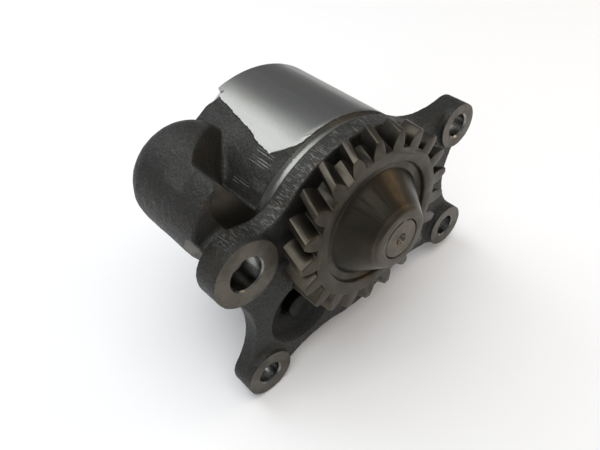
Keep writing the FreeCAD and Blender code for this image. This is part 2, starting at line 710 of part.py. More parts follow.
def cut_screw_seats(body):
    """Holes for the cover screws, each with a countersink for the head."""
    x, z = on_circle(SCREW_CIRCLE, "{first_screw_angle}")
    hole = "{screw_radius} + {screw_hole_clearance}"
    mouth = "{screw_head_radius} + {screw_hole_clearance}"
    seat = "%s - {screw_head_sink} - {screw_head_height}" % COVER_RIM
    rim = "%s - {screw_head_sink}" % COVER_RIM
    pattern(body, round_pocket(body, "clear_hole", x, z, hole, "{barrel_length}", COVER_RIM),
            "clear_holes", "{screw_count}")
    pattern(body, round_pocket(body, "sink_mouth", x, z, mouth, rim, COVER_RIM),
            "sink_mouths", "{screw_count}")
    cone = body.newObject("PartDesign::SubtractiveCone", "countersink")
    cone.setExpression("Radius1", bound(hole))
    cone.setExpression("Radius2", bound(mouth))
    cone.setExpression("Height", bound("{screw_head_height}"))
    cone.Placement = Placement(point(x, seat, z), Rotation(Vector(0, 0, 1), Vector(0, 1, 0)))
    body.Tip = cone
    pattern(body, cone, "countersinks", "{screw_count}")


def cut_cover_notch(body):
    """A flat cut in the cover's rim, beside the delivery boss."""
    sketch = new_sketch(body, FRONT, "cover_notch_sketch", "-{barrel_length}")
    outside = "({barrel_radius} + {notch_radius})"
    draw_outline(sketch, [on_circle("{notch_radius}", "{notch_start}"), on_circle("{notch_radius}", "{notch_end}"),
                          on_circle(outside, "{notch_end}"), on_circle(outside, "{notch_start}")])
    pocket(body, sketch, "cover_notch", "{cover_rim_thickness}")


def copies(label, master, places):
    """Separate solids of one shape, as one sub-part."""
    solids = []
    for place in places:
        solid = master.copy()
        solid.translate(place)
        solids.append(solid)
    group = doc.addObject("Part::Feature", label)
    group.Shape = Part.makeCompound(solids)
    group.Label = label
    return group


def screw_places():
    count = int(size("screw_count"))
    reach = number(SCREW_CIRCLE)
    start = math.radians(size("first_screw_angle"))
    angles = [start + 2 * math.pi * i / count for i in range(count)]
    return [Vector(reach * math.cos(a), 0, reach * math.sin(a)) for a in angles]


def make_fasteners():
    """Countersunk screws with a hexagon socket, and two dowels."""
    head_face = number(COVER_RIM) - size("screw_head_sink")
    forwards = Vector(0, -1, 0)
    shank = Part.makeCylinder(size("screw_radius"), size("screw_length"), Vector(0, head_face, 0), forwards)
    head = Part.makeCone(size("screw_head_radius"), size("screw_radius"), size("screw_head_height"),
                         Vector(0, head_face, 0), forwards)
    socket = hexagon(size("screw_socket_width"), Vector(0, head_face + size("overrun"), 0), forwards,
                     size("screw_socket_depth") + size("overrun"))
    copies("cover_screws", shank.fuse(head).cut(socket).removeSplitter(), screw_places())
    front = number("{barrel_length} + {dowel_in_cover} - {dowel_length}")
    dowel = Part.makeCylinder(size("dowel_radius"), size("dowel_length"), Vector(0, front, 0),
                              Vector(0, 1, 0))
    dowel = dowel.makeChamfer(size("dowel_chamfer"), [edge for edge in dowel.Edges if edge.Closed])
    reach = number(SCREW_CIRCLE)
    angles = [math.radians(size(name + "_dowel_angle")) for name in ("first", "second")]
    copies("cover_dowels", dowel, [Vector(reach * math.cos(a), 0, reach * math.sin(a)) for a in angles])


def hexagon(width, start, direction, length):
    """A hexagonal bar, given by its width across flats."""
    corner = width / math.sqrt(3)
    turn = Placement(start, Rotation(Vector(0, 0, 1), direction))
    corners = [turn.multVec(Vector(corner * math.cos(math.pi * i / 3), corner * math.sin(math.pi * i / 3), 0))
               for i in range(7)]
    return Part.Face(Part.makePolygon(corners)).extrude(direction.normalize() * length)


def make_relief_valve():
    place = {"x": "{valve_x}", "z": "{valve_z}"}
    outer = "({valve_bore_radius} - {running_clearance})"
    inner = "({valve_bore_radius} - {running_clearance} - {plunger_wall})"
    head = "({valve_bore_end} - {end_clearance})"
    skirt = "({valve_bore_end} - {end_clearance} - {plunger_length})"
    cup = "({valve_bore_end} - {end_clearance} - {plunger_head})"
    turned("relief_plunger", [
        ("0", cup), (inner, cup), (inner, skirt), (outer, skirt), (outer, head + " - {valve_chamfer}"),
        (outer + " - {valve_chamfer}", head), ("0", head)], **place)
    seat_rear = "{seat_disc_rear}"
    turned("relief_spring_seat", [
        ("0", "{seat_post_front}"), ("{seat_post_radius} - {valve_chamfer}", "{seat_post_front}"),
        ("{seat_post_radius}", "{seat_post_front} + {valve_chamfer}"),
        ("{seat_post_radius}", "{seat_disc_front}"),
        (outer, "{seat_disc_front}"), (outer, seat_rear), ("0", seat_rear)], **place)
    shim_rear = "({seat_disc_rear} + {shim_thickness})"
    turned("relief_shim", [
        ("{shim_bore_radius}", seat_rear), ("{shim_radius}", seat_rear), ("{shim_radius}", shim_rear),
        ("{shim_bore_radius}", shim_rear)], **place)
    make_spring(shim_rear, cup, inner, place)
    make_snap_ring(place)
    make_plug()


def make_spring(start, end, inner, place):
    """The relief spring at its fitted length. Its wire runs in short straight lengths."""
    wire = size("spring_wire_radius")
    reach = number(inner) - size("spring_clearance") - wire
    front = number(start) + wire + size("end_clearance")
    rear = number(end) - wire - size("end_clearance")
    steps = int(size("spring_turns")) * SPRING_STEPS
    corners = []
    for step in range(steps + 1):
        angle = 2 * math.pi * step / SPRING_STEPS
        corners.append(Vector(reach * math.cos(angle), front + (rear - front) * step / steps,
                              reach * math.sin(angle)))
    path = Part.makePolygon(corners)
    profile = Part.Wire(Part.makeCircle(wire, corners[0], corners[1] - corners[0]))
    spring = doc.addObject("Part::Feature", "relief_spring")
    spring.Shape = Part.Solid(path.makePipeShell([profile], True, False, 1))
    spring.Label = "relief_spring"
    spring.Placement = Placement(point(place["x"], "0", place["z"]), Rotation())


def make_snap_ring(place):
    """An internal ring with a gap and two ears, in the groove of the valve bore."""
    front = "({seat_disc_front} - {ring_thickness} - {end_clearance} / 2)"
    body = new_body("relief_snap_ring", place["x"], front, place["z"])
    outer = "({valve_bore_radius} + {ring_groove_depth} - {ring_clearance})"
    inner = "({valve_bore_radius} + {ring_groove_depth} - {ring_clearance} - {ring_width})"
    round_pad(body, "ring_disc", "0", "0", outer, "0", "{ring_thickness}")
    round_pocket(body, "ring_bore", "0", "0", inner, "0", "{ring_thickness}")
    gap = new_sketch(body, FRONT, "ring_gap_sketch")
    side = "({ring_gap} / 2)"
    beyond = outer + " + {overrun}"
    draw_outline(gap, [("-" + side, "0"), (side, "0"), (side, beyond), ("-" + side, beyond)])
    pocket(body, gap, "ring_gap", "{ring_thickness}")
    return body


def make_plug():
    """A screwed plug with a hexagon socket, in the outer end of the cross drilling."""
    valve = point("{valve_x}", "{cross_drilling_y}", "{valve_z}")
    bay = point("{pressure_x}", "{cross_drilling_y}", MESH_Z)
    outwards = (valve - bay).normalize()
    length = size("plug_length") - size("plug_setback") - size("end_clearance")
    body = Part.makeCylinder(size("plug_radius"), length)
    socket = hexagon(size("plug_socket_width"), Vector(0, 0, length + size("overrun")), Vector(0, 0, -1),
                     size("plug_socket_depth") + size("overrun"))
    plug = doc.addObject("Part::Feature", "gallery_plug")
    plug.Shape = body.cut(socket)
    plug.Label = "gallery_plug"
    floor = valve + outwards * (size("valve_boss_radius") - size("plug_length") + size("end_clearance"))
    plug.Placement = Placement(floor, Rotation(Vector(0, 0, 1), outwards))


make_housing()
make_cover()
make_fasteners()
make_bushes()
make_shafts()
make_drive_gear()
half_pitch = math.pi / size("pump_teeth")
make_pump_gear("pump_drive_gear", "{drive_axis_z}", math.pi / 2, True)
make_pump_gear("pump_driven_gear", DRIVEN_Z, math.pi / 2 + half_pitch, False)
make_relief_valve()
doc.recompute()

for item in doc.Objects:
    if "Invalid" in item.State or "Error" in item.State:
        raise RuntimeError("%s could not be made: %s" % (item.Label, item.State))

sub_parts = [item for item in doc.Objects
             if item.TypeId == "PartDesign::Body" or item.TypeId == "Part::Feature"]
for item in sub_parts:
    if item.Shape.isNull() or not item.Shape.isValid():
        raise RuntimeError("%s has no sound shape" % item.Label)

os.makedirs(PARTS_FOLDER, exist_ok=True)
for item in sub_parts:
    item.Shape.exportStep(os.path.join(PARTS_FOLDER, item.Label + ".step"))
    print("%-22s %d solid(s) %12.1f mm3" % (item.Label, len(item.Shape.Solids), item.Shape.Volume))
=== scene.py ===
import math

import bmesh
import bpy
from bpy.props import FloatProperty, FloatVectorProperty, PointerProperty
from mathutils import Matrix, Vector, noise


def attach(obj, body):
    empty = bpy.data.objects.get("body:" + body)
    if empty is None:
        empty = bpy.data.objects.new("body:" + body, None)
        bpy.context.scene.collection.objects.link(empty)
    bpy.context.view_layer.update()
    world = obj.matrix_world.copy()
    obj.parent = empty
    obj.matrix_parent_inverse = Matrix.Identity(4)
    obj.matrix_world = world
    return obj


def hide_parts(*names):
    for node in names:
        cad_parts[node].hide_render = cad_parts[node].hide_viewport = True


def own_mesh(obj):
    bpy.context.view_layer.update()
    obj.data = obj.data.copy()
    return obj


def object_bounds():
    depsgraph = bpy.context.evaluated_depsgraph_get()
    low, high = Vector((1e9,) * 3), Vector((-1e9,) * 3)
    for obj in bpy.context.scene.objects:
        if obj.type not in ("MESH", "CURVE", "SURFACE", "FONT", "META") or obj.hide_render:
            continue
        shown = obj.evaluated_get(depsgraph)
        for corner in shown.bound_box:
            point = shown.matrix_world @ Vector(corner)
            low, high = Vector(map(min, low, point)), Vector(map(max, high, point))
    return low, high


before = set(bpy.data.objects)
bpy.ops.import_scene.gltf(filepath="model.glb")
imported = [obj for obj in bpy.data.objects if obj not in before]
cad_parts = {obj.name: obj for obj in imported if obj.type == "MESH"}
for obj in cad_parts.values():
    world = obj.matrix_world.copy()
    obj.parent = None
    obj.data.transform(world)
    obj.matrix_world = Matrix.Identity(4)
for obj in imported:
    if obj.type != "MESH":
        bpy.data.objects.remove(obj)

CAD_BOX = [list(corner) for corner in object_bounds()]

# Looks of a gear-type engine oil pump. X to the right, Z up, Y towards the rear of the pump.
# Sizes in the script are in millimetres and go through MM; Blender works in metres.

bl_info = {
    "name": "Engine oil pump",
    "version": (1, 0, 0),
    "blender": (4, 5, 0),
    "location": "3D Viewport > Sidebar > Oil Pump",
    "description": "Cast housing, gears and studio of an engine oil pump",
    "category": "Object",
}

MM = 0.001

# The housing's finishes, in the order of its material slots.
CAST, TURNED, MILLED, BORED = range(4)
HOUSING_FINISHES = ("sand_cast_iron", "turned_cast_iron", "milled_cast_iron", "bored_cast_iron")

# Depths along Y.
FLANGE_FRONT = -9.8
MOUTH_FLOOR = -2.6
MOUNTING_FACE = 0.0
NOSE_FRONT = 1.2
NECK_END = 4.5
CHAMBER_FRONT = 18.0
PORT_FLOOR = 33.0
PASSAGE = 39.0
BOSS_END = 46.0
BARREL_END = 50.0

# Radii. The chamber is cut a little wider than it is drawn, so that the gears clear its facets.
NECK_RADIUS = 42.5
BARREL_RADIUS = 44.2
BOSS_RADIUS = 20.6
MOUTH_RADIUS = 15.9
PORT_RADIUS = 6.5
CHAMBER_RADIUS = 18.25
CHAMBER_ROOM = 0.12

# Axes that run along Y: x and z, and for the lugs the radii of the lug and of its hole.
LUGS = {
    "upper_left": (-50.7, 19.7, 13.5, 6.5),
    "lower_left": (-50.3, -40.6, 10.5, 4.75),
    "upper_right": (57.2, 18.5, 9.6, 4.75),
    "lower_right": (55.4, -37.0, 10.0, 4.75),
}
VALVE = (-28.5, -21.5)
PORT = (-42.6, 31.9)
BOSS = (-41.0, 30.7)

# The pump gears' axes stand above one another, at x 0 and these heights.
DRIVE_AXIS = 13.0
DRIVEN_AXIS = -17.0

# Drilled ways: start, end and radius.
DRILLINGS = {
    "passage_cut": ((-28.0, PASSAGE, 10.9), (PORT[0], PASSAGE, PORT[1]), 5.0),
    "plug_hole_cut": ((-31.83, 31.0, -28.34), (-35.4, 31.0, -35.6), 4.54),
    "spill_hole_cut": ((-34.1, 23.5, -25.7), (-39.9, 23.5, -30.1), 2.5),
}

# The turned surface of the barrel ends beside the boss along a slanting line: depths and angles.
TURNED_EDGE = ((4.5, 103.0), (7.0, 108.5), (12.0, 116.2), (19.0, 115.0), (26.0, 112.0), (34.0, 110.0),
               (43.0, 107.8), (50.0, 106.0))
TURNED_UNDERSIDE = -116.0

# Places where a file or a scraper bared the cast skin: two angles, two depths and their softness.
FILED_RIM = ((66.0, 150.0), (-7.2, -0.6), 0.8)
SCRAPED_SPOTS = (((116.5, 123.5), (9.5, 18.0), 1.2), ((132.5, 136.5), (12.0, 20.0), 0.6))

# Studio lights: place in metres, width, height and colour.
LIGHTS = {
    "key_light": ((-0.085, 0.51, 0.73), 0.6, 1.0, (0.95, 0.98, 1.0)),
    "side_light": ((-0.70, -0.30, 0.45), 0.6, 0.5, (0.97, 0.99, 1.0)),
    "floor_light": ((-0.10, -0.35, 1.25), 1.2, 1.2, (1.0, 1.0, 1.0)),
    "warm_light": ((0.62, -0.30, 0.30), 0.3, 0.3, (1.0, 0.72, 0.45)),
}
LIT_POINT = (0.0, 0.02, 0.0)


class CastingSizes(bpy.types.PropertyGroup):
    voxel: FloatProperty(name="Skin mesh", description="Size of the cells that the cast skin is made of",
                         default=0.7 * MM, unit="LENGTH", precision=5)
    stock: FloatProperty(name="Machining stock", description="Iron that is cast on and machined off again",
                         default=1.0 * MM, unit="LENGTH", precision=5)
    lumps: FloatProperty(name="Lumps", description="Depth of the uneven places of the cast skin",
                         default=0.16 * MM, unit="LENGTH", precision=5)
    grain: FloatProperty(name="Grain", description="Depth of the sand's grain in the cast skin",
                         default=0.11 * MM, unit="LENGTH", precision=5)
    edge: FloatProperty(name="Hole edges", description="Width of the chamfer round the machined holes",
                        default=0.6 * MM, unit="LENGTH", precision=5)


class SteelSizes(bpy.types.PropertyGroup):
    gear_edge: FloatProperty(name="Gear edges", description="Width of the broken edges of the drive gear",
                             default=0.35 * MM, unit="LENGTH", precision=5)


class FinishColours(bpy.types.PropertyGroup):
    iron_skin: FloatVectorProperty(name="Cast skin", description="Oiled sand-cast iron", subtype="COLOR",
                                   size=3, min=0, max=1, default=(0.030, 0.030, 0.027))
    iron_cut: FloatVectorProperty(name="Milled iron", description="Milled faces of the casting",
                                  subtype="COLOR", size=3, min=0, max=1, default=(0.105, 0.094, 0.077))
    iron_turned: FloatVectorProperty(name="Turned iron", description="The turned barrel and its neck",
                                     subtype="COLOR", size=3, min=0, max=1, default=(0.27, 0.27, 0.255))
    gear_steel: FloatVectorProperty(name="Gear steel", description="Hardened steel of the gears",
                                    subtype="COLOR", size=3, min=0, max=1, default=(0.058, 0.051, 0.039))
    rust: FloatVectorProperty(name="Rust", description="Light rust on the cast skin", subtype="COLOR",
                              size=3, min=0, max=1, default=(0.06, 0.037, 0.021))
    floor: FloatVectorProperty(name="Floor", description="The studio's floor", subtype="COLOR", size=3,
                               min=0, max=1, default=(0.93, 0.93, 0.93))


class StudioSizes(bpy.types.PropertyGroup):
    lens: FloatProperty(name="Lens", description="Focal length of the camera, in millimetres", default=38.8,
                        min=10, max=200)
    key: FloatProperty(name="Key light", description="Power of the cool light overhead", default=4.2,
                       subtype="POWER")
    side: FloatProperty(name="Side light", description="Power of the light from the left", default=1.0,
                        subtype="POWER")
    floor: FloatProperty(name="Floor light", description="Power of the light overhead that whitens the floor",
                         default=11.0, subtype="POWER")
    warm: FloatProperty(name="Warm light", description="Power of the warm light from the right", default=0.9,
                        subtype="POWER")
    sky: FloatProperty(name="Sky", description="Strength of the even light all round", default=0.25, min=0,
                       max=5)


def casting_sizes():
    return bpy.context.scene.oil_pump_casting


def steel_sizes():
    return bpy.context.scene.oil_pump_steel


def colours():
    return bpy.context.scene.oil_pump_colours


def studio_sizes():
    return bpy.context.scene.oil_pump_studio


# Materials

class Finish:
    """A material with its nodes. Sockets are given as numbers, colours or outputs of nodes."""

    def __init__(self, name, colour, metallic, roughness):
        self.material = bpy.data.materials.new(name)
        self.material.use_nodes = True
        self.material.diffuse_color = (*colour, 1)
        self.tree = self.material.node_tree
        self.shader = self.tree.nodes["Principled BSDF"]
        self.set(self.shader.inputs["Base Color"], colour)
        self.set(self.shader.inputs["Metallic"], metallic)
        self.set(self.shader.inputs["Roughness"], roughness)
        self.place = self.add("ShaderNodeTexCoord").outputs["Object"]

    def add(self, kind, **settings):
        node = self.tree.nodes.new(kind)
        for name, value in settings.items():
            setattr(node, name, value)
        return node

    def set(self, socket, value):
        if isinstance(value, bpy.types.NodeSocket):
            self.tree.links.new(value, socket)
        elif hasattr(value, "__len__") and len(socket.default_value) == 4:
            socket.default_value = (*tuple(value)[:3], 1)
        else:
            socket.default_value = value

    def math(self, operation, one, other=0.0, clamp=False):
        node = self.add("ShaderNodeMath", operation=operation, use_clamp=clamp)
        self.set(node.inputs[0], one)
        self.set(node.inputs[1], other)
        return node.outputs[0]

    def scaled(self, x, y, z, where=None):
        """The place, stretched by a factor along each axis."""
        node = self.add("ShaderNodeVectorMath", operation="MULTIPLY")
        self.set(node.inputs[0], where or self.place)
        node.inputs[1].default_value = (x, y, z)
        return node.outputs[0]

    def noise(self, per_metre, detail=2.0, roughness=0.5, where=None):
        node = self.add("ShaderNodeTexNoise")
        self.set(node.inputs["Vector"], where or self.place)
        node.inputs["Scale"].default_value = per_metre
        node.inputs["Detail"].default_value = detail
        node.inputs["Roughness"].default_value = roughness
        return node.outputs["Fac"]

    def between(self, value, low, high, first=0.0, last=1.0):
        """A smooth step from one number to another while value goes from low to high."""
        node = self.add("ShaderNodeMapRange", interpolation_type="SMOOTHSTEP", clamp=True)
        self.set(node.inputs["Value"], value)
        for name, number in (("From Min", low), ("From Max", high), ("To Min", first), ("To Max", last)):
            self.set(node.inputs[name], number)
        return node.outputs["Result"]

    def mix(self, share, one, other):
        node = self.add("ShaderNodeMix", data_type="RGBA")
        self.set(node.inputs[0], share)
        self.set(node.inputs[6], one)
        self.set(node.inputs[7], other)
        return node.outputs[2]

    def bump(self, height, depth, strength=1.0, under=None):
        node = self.add("ShaderNodeBump")
        node.inputs["Strength"].default_value = strength
        node.inputs["Distance"].default_value = depth
        self.set(node.inputs["Height"], height)
        if under is not None:
            self.set(node.inputs["Normal"], under)
        return node.outputs["Normal"]

    def split(self):
        node = self.add("ShaderNodeSeparateXYZ")
        self.set(node.inputs[0], self.place)
        return node.outputs

    def joined(self, x, y=0.0, z=0.0):
        """Three numbers as one place."""
        node = self.add("ShaderNodeCombineXYZ")
        for socket, value in zip(node.inputs, (x, y, z)):
            self.set(socket, value)
        return node.outputs[0]

    def round_place(self, x=0.0, z=0.0):
        """Distance from an axis along Y, angle about it in degrees, and depth."""
        across, depth, up = self.split()
        across = self.math("SUBTRACT", across, x)
        up = self.math("SUBTRACT", up, z)
        reach = self.math("SQRT", self.math("ADD", self.math("MULTIPLY", across, across),
                                            self.math("MULTIPLY", up, up)))
        angle = self.math("DEGREES", self.math("ARCTAN2", up, across))
        return reach, angle, depth

    def patch(self, angle, depth, angles, depths, soft):
        """1 inside a patch of the barrel, given by two angles in degrees and two depths in millimetres."""
        sides = self.math("MULTIPLY", self.between(angle, angles[0] - soft, angles[0] + soft),
                          self.between(angle, angles[1] - soft, angles[1] + soft, 1, 0))
        ends = self.math("MULTIPLY",
                         self.between(depth, (depths[0] - soft) * MM, (depths[0] + soft) * MM),
                         self.between(depth, (depths[1] - soft) * MM, (depths[1] + soft) * MM, 1, 0))
        return self.math("MULTIPLY", sides, ends)

    def done(self, normal=None, turned=0.0):
        if normal is not None:
            self.set(self.shader.inputs["Normal"], normal)
        if turned > 0:
            self.shader.inputs["Anisotropic"].default_value = turned
            tangent = self.add("ShaderNodeTangent", direction_type="RADIAL", axis="Y")
            self.set(self.shader.inputs["Tangent"], tangent.outputs[0])
        return self.material


def tint(colour, factor):
    return tuple(min(1.0, part * factor) for part in colour)


def cast_skin():
    """Sand-cast iron under a film of oil: grain, light rust, file marks on the rim and scraped spots."""
    look = Finish("sand_cast_iron", colours().iron_skin, 0.55, 0.6)
    reach, angle, depth = look.round_place()
    grain = look.noise(1500, 3.0, 0.65)
    lumps = look.noise(420, 2.0, 0.5)
    cloud = look.noise(45, 3.0, 0.6)
    colour = look.mix(look.between(grain, 0.34, 0.72), tint(colours().iron_skin, 0.65),
                      tint(colours().iron_skin, 1.4))
    colour = look.mix(look.between(cloud, 0.35, 0.7, 0.0, 0.45), colour, tint(colours().iron_skin, 1.5))
    specks = look.math("MULTIPLY", look.between(look.noise(70, 4.0, 0.7), 0.54, 0.72, 0.0, 0.75),
                       look.between(grain, 0.35, 0.6))
    colour = look.mix(specks, colour, colours().rust)
    across_rim = look.noise(1.0, 1.0, 0.5, look.scaled(2300, 330, 2300))
    on_rim = look.math("MULTIPLY", look.between(reach, 44.0 * MM, 44.8 * MM),
                       look.patch(angle, depth, *FILED_RIM))
    filed = look.math("MULTIPLY", on_rim, look.between(across_rim, 0.52, 0.68, 0.0, 0.4))
    lines = look.math("SINE", look.math("MULTIPLY", angle, 4.65))
    uneven = look.between(look.noise(1.0, 2.0, 0.6, look.scaled(500, 90, 500)), 0.40, 0.56)
    scraped = look.math("MAXIMUM", *(look.patch(angle, depth, *spot) for spot in SCRAPED_SPOTS))
    scraped = look.math("MULTIPLY", scraped, look.between(reach, 44.6 * MM, 44.9 * MM, 1, 0))
    scraped = look.math("MULTIPLY", scraped, look.math("MULTIPLY", look.between(lines, 0.3, 0.95), uneven))
    bare = look.math("MAXIMUM", filed, look.math("MULTIPLY", scraped, 0.9))
    colour = look.mix(bare, colour, tint(colours().iron_turned, 1.1))
    look.set(look.shader.inputs["Base Color"], colour)
    look.set(look.shader.inputs["Roughness"], look.between(grain, 0.3, 0.7, 0.66, 0.44))
    look.set(look.shader.inputs["Metallic"], look.math("ADD", look.math("MULTIPLY", bare, 0.4), 0.55))
    rough = look.bump(lumps, 0.35 * MM, 0.8)
    return look.done(look.bump(grain, 0.22 * MM, 0.9, rough))


def turned_iron():
    """Fine circular tool lines, a few deeper ones, pores, and the faint stains of handling."""
    look = Finish("turned_cast_iron", colours().iron_turned, 1.0, 0.33)
    fine = look.noise(1.0, 2.0, 0.6, look.scaled(25, 5200, 25))
    broad = look.noise(1.0, 3.0, 0.55, look.scaled(60, 9, 60))
    stain = look.noise(38, 4.0, 0.6)
    pores = look.noise(2600, 1.0, 0.5)
    colour = look.mix(look.between(broad, 0.35, 0.68), tint(colours().iron_turned, 1.12),
                      tint(colours().iron_turned, 0.78))
    colour = look.mix(look.between(stain, 0.50, 0.75, 0.0, 0.5), colour, (0.27, 0.25, 0.20))
    colour = look.mix(look.between(pores, 0.66, 0.74, 0.0, 0.6), colour, (0.08, 0.08, 0.075))
    look.set(look.shader.inputs["Base Color"], colour)
    look.set(look.shader.inputs["Roughness"], look.between(broad, 0.3, 0.7, 0.27, 0.40))
    return look.done(look.bump(fine, 0.02 * MM, 0.35), 0.55)


def milled_iron():
    """Faces cut with a wide cutter: shallow arcs, pores, and a film of brown oil."""
    look = Finish("milled_cast_iron", colours().iron_cut, 0.9, 0.42)
    reach, _, _ = look.round_place(95 * MM, 140 * MM)
    arcs = look.math("SINE", look.math("MULTIPLY", reach, 9000))
    pores = look.noise(2200, 2.0, 0.6)
    film = look.noise(110, 4.0, 0.6)
    colour = look.mix(look.between(film, 0.35, 0.7), tint(colours().iron_cut, 1.15),
                      tint(colours().iron_cut, 0.72))
    colour = look.mix(look.between(pores, 0.58, 0.70, 0.0, 0.65), colour, (0.05, 0.045, 0.04))
    look.set(look.shader.inputs["Base Color"], colour)
    look.set(look.shader.inputs["Roughness"], look.between(film, 0.3, 0.7, 0.38, 0.52))
    height = look.math("ADD", look.math("MULTIPLY", arcs, 0.25), pores)
    return look.done(look.bump(height, 0.03 * MM, 0.5))


def bored_iron():
    """The bright wall of a drilled or bored hole."""
    look = Finish("bored_cast_iron", tint(colours().iron_turned, 1.1), 1.0, 0.26)
    rings = look.noise(1.0, 2.0, 0.6, look.scaled(60, 3600, 60))
    shade = look.noise(160, 3.0, 0.6)
    look.set(look.shader.inputs["Base Color"],
             look.mix(look.between(shade, 0.35, 0.7), tint(colours().iron_turned, 1.2),
                      tint(colours().iron_turned, 0.6)))
    return look.done(look.bump(rings, 0.03 * MM, 0.5), 0.4)


def drive_gear_steel():
    """Hardened gear: turned rings on the web and nose, and ground lands."""
    look = Finish("drive_gear_steel", colours().gear_steel, 0.92, 0.4)
    reach, angle, depth = look.round_place(0.0, DRIVE_AXIS * MM)
    rings = look.noise(1.0, 3.0, 0.6, look.joined(look.math("MULTIPLY", reach, 2600),
                                                  look.math("MULTIPLY", depth, 2600)))
    cloud = look.noise(70, 4.0, 0.6)
    grit = look.noise(1900, 2.0, 0.6)
    colour = look.mix(look.between(cloud, 0.35, 0.7), tint(colours().gear_steel, 1.2),
                      tint(colours().gear_steel, 0.7))
    lands = look.between(reach, 36.4 * MM, 36.8 * MM)
    colour = look.mix(look.math("MULTIPLY", lands, 0.5), colour, tint(colours().gear_steel, 1.9))
    nose = look.between(depth, -30.6 * MM, -31.0 * MM)
    colour = look.mix(look.math("MULTIPLY", nose, 0.6), colour, tint(colours().gear_steel, 1.7))
    # Painted shade: the lower cone and the floor of the dished front, deep behind the nose, are darkened
    # towards near black.
    painted_recess_shade = look.math("MULTIPLY", look.between(depth, -29.6 * MM, -29.2 * MM),
                     look.between(reach, 21.5 * MM, 22.2 * MM, 1, 0))
    colour = look.mix(look.math("MULTIPLY", painted_recess_shade, 0.55), colour, (0.016, 0.014, 0.010))
    colour = look.mix(look.between(grit, 0.62, 0.72, 0.0, 0.5), colour, (0.02, 0.018, 0.015))
    look.set(look.shader.inputs["Base Color"], colour)
    look.set(look.shader.inputs["Roughness"], look.between(cloud, 0.3, 0.7, 0.31, 0.45))
    height = look.math("ADD", look.math("MULTIPLY", rings, 0.8), look.math("MULTIPLY", grit, 0.5))
    return look.done(look.bump(height, 0.04 * MM, 0.5))


def plain_steel(name, colour, roughness, lines, depth=0.02, metallic=1.0):
    """Ground or turned steel with fine lines round the Y axis."""
    look = Finish(name, colour, metallic, roughness)
    fine = look.noise(1.0, 2.0, 0.6, look.scaled(40, lines, 40))
    cloud = look.noise(130, 3.0, 0.6)
    look.set(look.shader.inputs["Base Color"],
             look.mix(look.between(cloud, 0.35, 0.7), tint(colour, 1.12), tint(colour, 0.78)))
    look.set(look.shader.inputs["Roughness"],
             look.between(cloud, 0.3, 0.7, roughness * 0.85, roughness * 1.2))
    return look.done(look.bump(fine, depth * MM, 0.5))


def dress(node, material):
    """Gives a CAD node's material slots a finish."""
    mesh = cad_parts[node].data
    if not mesh.materials:
        mesh.materials.append(material)
    for index in range(len(mesh.materials)):
        mesh.materials[index] = material


# Shapes

def welded_copy(node):
    shape = bmesh.new()
    shape.from_mesh(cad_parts[node].data)
    bmesh.ops.remove_doubles(shape, verts=shape.verts, dist=1e-6)
    return shape


def place_along(start, direction):
    return Matrix.Translation(start) @ Vector(direction).to_track_quat("Z", "Y").to_matrix().to_4x4()


def add_rod(shape, start, end, radius, sides=48):
    """A round bar between two points, as a closed part of a shape."""
    start, end = Vector(start) * MM, Vector(end) * MM
    middle = place_along((start + end) / 2, end - start)
    bmesh.ops.create_cone(shape, cap_ends=True, segments=sides, radius1=radius * MM, radius2=radius * MM,
                          depth=(end - start).length, matrix=middle)


def add_lathe(shape, x, z, profile, sides=96):
    """A solid turned about an axis along Y, from a closed profile of radius and depth."""
    rings = []
    for step in range(sides):
        angle = math.radians(360.0 * step / sides)
        across, up = math.cos(angle), math.sin(angle)
        rings.append([shape.verts.new(((x + r * across) * MM, y * MM, (z + r * up) * MM))
                      for r, y in profile])
    for step in range(sides):
        one, other = rings[step], rings[(step + 1) % sides]
        for index in range(len(profile)):
            follower = (index + 1) % len(profile)
            shape.faces.new((one[index], one[follower], other[follower], other[index]))
    return shape


def ring(inner, outer, near, far):
    """The profile of a disc or a ring for add_lathe, between two radii and two depths."""
    return [(inner, near), (outer, near), (outer, far), (inner, far)]


def add_between(shape, one, other):
    """Closes two outlines with as many corners into a solid."""
    shape.faces.new(one)
    shape.faces.new(list(reversed(other)))
    for index, corner in enumerate(one):
        follower = (index + 1) % len(one)
        shape.faces.new((corner, other[index], other[follower], one[follower]))
    return shape


def add_prism(shape, outline, near, far):
    """A solid from an outline of x and z, between the depths that two functions of x and z give."""
    ends = []
    for depth in (near, far):
        ends.append([shape.verts.new((x * MM, depth(x, z) * MM, z * MM)) for x, z in outline])
    return add_between(shape, *ends)


def level(depth):
    """A plane across the Y axis, for add_prism."""
    return lambda x, z: depth


def arc(x, z, radius, first, last, steps=12):
    """Points on a circle, from one angle to another."""
    angles = [math.radians(first + (last - first) * step / steps) for step in range(steps + 1)]
    return [(x + radius * math.cos(angle), z + radius * math.sin(angle)) for angle in angles]


def boss_pocket():
    """The hollow beside the boss, between its flat and the barrel, with a slanting rear end."""
    outline = arc(0, 0, BARREL_RADIUS - 0.1, 141.2, 117.0) + [(-20.0, 72.0), (-58.9, 72.0)]

    def rear(x, z):
        return 20.5 + 0.8 * (x + 47.0) - 0.35 * max(0.0, 50.0 - z)

    return to_object("boss_pocket_cut", add_prism(bmesh.new(), outline, level(3.0), rear))


def boss_nose_outline():
    """The part of the boss's front end that stays as cast, between the two milled places."""
    rim = arc(*BOSS, BOSS_RADIUS, 108.0, 168.0)
    return rim + [(-60.6, 33.4), (-57.0, 23.4), (-56.2, 23.6), (-55.8, 28.2), (-50.5, 27.5), (-48.6, 31.5),
                  (-50.4, 36.0), (-51.6, 41.0), (-50.6, 46.0), (-48.6, 48.8)]


def mesh_from(shape, name):
    mesh = bpy.data.meshes.new(name)
    shape.to_mesh(mesh)
    shape.free()
    return mesh


def linked(name, data):
    """A new object in the scene."""
    made = bpy.data.objects.new(name, data)
    bpy.context.scene.collection.objects.link(made)
    return made


